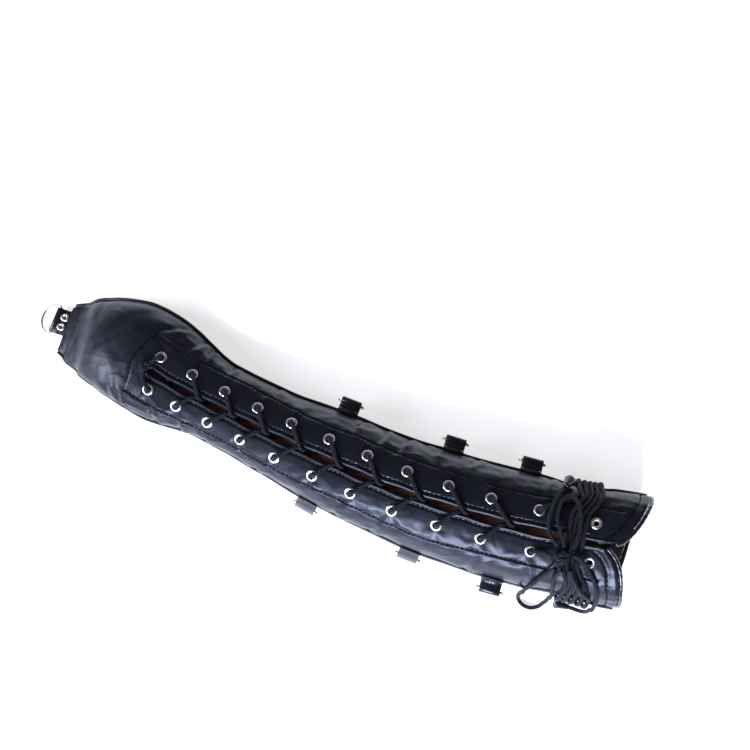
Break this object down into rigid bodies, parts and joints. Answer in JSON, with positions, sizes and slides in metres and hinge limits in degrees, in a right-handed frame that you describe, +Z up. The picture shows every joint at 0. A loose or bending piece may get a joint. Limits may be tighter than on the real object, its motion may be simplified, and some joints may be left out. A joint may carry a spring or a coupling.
{
  "type": "lace-up arm sleeve",
  "caption": "Soft leather-look arm sleeve, closed at the hand end, laced along the top through eyelet rows, with a bow at the cuff and D-rings hanging in leather tabs.",
  "frame": {"origin": "Centre of the bounding box in X and Y, on the surface that the sleeve lies on, measured without the free bow loops, tails and tips.", "axes": "+X runs from the closed hand end to the open cuff, +Z is up out of the lacing, +Y is to the far side of the lacing."},
  "size_m": [0.6068, 0.1578, 0.089],
  "materials": {
    "leather": "soft smooth black imitation leather with fine creases and a satin sheen",
    "underside": "the same black imitation leather, lying flat",
    "facing": "inner reinforcement strip, black with a brownish raw edge",
    "strap": "folded black strap leather with stitching and a brownish cut edge",
    "binding": "glossy rolled black edge binding",
    "piping": "narrow black piping, worn brownish",
    "lining": "matt red-brown suede",
    "lace": "round braided black cord",
    "tip": "leather-covered bell tip",
    "nickel": "polished nickel plate"
  },
  "bodies": {
    "sleeve": {"eyelet_far_01": "nickel", "eyelet_far_02": "nickel", "eyelet_far_03": "nickel", "eyelet_far_04": "nickel", "eyelet_far_05": "nickel", "eyelet_far_06": "nickel", "eyelet_far_07": "nickel", "eyelet_far_08": "nickel", "eyelet_far_09": "nickel", "eyelet_far_10": "nickel", "eyelet_far_11": "nickel", "eyelet_far_12": "nickel", "eyelet_near_01": "nickel", "eyelet_near_02": "nickel", "eyelet_near_03": "nickel", "eyelet_near_04": "nickel", "eyelet_near_05": "nickel", "eyelet_near_06": "nickel", "eyelet_near_07": "nickel", "eyelet_near_08": "nickel", "eyelet_near_09": "nickel", "eyelet_near_10": "nickel", "eyelet_near_11": "nickel", "eyelet_near_12": "nickel", "rivet_end_far": "nickel", "rivet_end_near": "nickel", "top_panel": "leather", "underside_panel": "underside", "eyelet_facing": "facing", "tongue": "lining", "side_piping_far": "piping", "side_piping_near": "piping", "cuff_binding": "binding", "tab_far_1": "strap", "tab_far_2": "strap", "tab_far_3": "strap", "tab_near_1": "strap", "tab_near_2": "strap", "tab_near_3": "strap", "tab_end": "strap", "lace_criss_cross": "lace", "lace_wraps": "lace", "bow_knot": "lace", "bow_loop_far": "lace", "bow_loop_near": "lace", "lace_tail_far": "lace", "lace_tail_near": "lace", "lace_tip_far": "tip", "lace_tip_near": "tip"},
    "ring_far_1": {"d_ring_far_1": "nickel"},
    "ring_far_2": {"d_ring_far_2": "nickel"},
    "ring_far_3": {"d_ring_far_3": "nickel"},
    "ring_near_1": {"d_ring_near_1": "nickel"},
    "ring_near_2": {"d_ring_near_2": "nickel"},
    "ring_near_3": {"d_ring_near_3": "nickel"},
    "ring_end": {"d_ring_end": "nickel"}
  },
  "joints": [
    {"name": "ring_far_1_hinge", "type": "hinge", "parent": "sleeve", "child": "ring_far_1", "pos_m": [0.01319, 0.04689, 0.02873], "axis": [0.9992, -0.04, 0], "range_deg": [-30, 150]},
    {"name": "ring_far_2_hinge", "type": "hinge", "parent": "sleeve", "child": "ring_far_2", "pos_m": [0.1168, 0.04464, 0.03234], "axis": [0.9996, 0.0268, 0], "range_deg": [-30, 150]},
    {"name": "ring_far_3_hinge", "type": "hinge", "parent": "sleeve", "child": "ring_far_3", "pos_m": [0.18996, 0.04925, 0.03338], "axis": [0.9972, 0.0747, 0], "range_deg": [-30, 150]},
    {"name": "ring_near_1_hinge", "type": "hinge", "parent": "sleeve", "child": "ring_near_1", "pos_m": [0.00441, -0.0584, 0.0223], "axis": [-0.9874, 0.1581, 0], "range_deg": [-30, 150]},
    {"name": "ring_near_2_hinge", "type": "hinge", "parent": "sleeve", "child": "ring_near_2", "pos_m": [0.10842, -0.07028, 0.02565], "axis": [-0.9991, 0.0429, 0], "range_deg": [-30, 150]},
    {"name": "ring_near_3_hinge", "type": "hinge", "parent": "sleeve", "child": "ring_near_3", "pos_m": [0.18782, -0.07436, 0.03326], "axis": [-0.9985, -0.0553, 0], "range_deg": [-30, 150]},
    {"name": "ring_end_hinge", "type": "hinge", "parent": "sleeve", "child": "ring_end", "pos_m": [-0.28649, 0.03282, 0.00535], "axis": [0.0044, 1, 0], "range_deg": [-78, 150]}
  ]
}
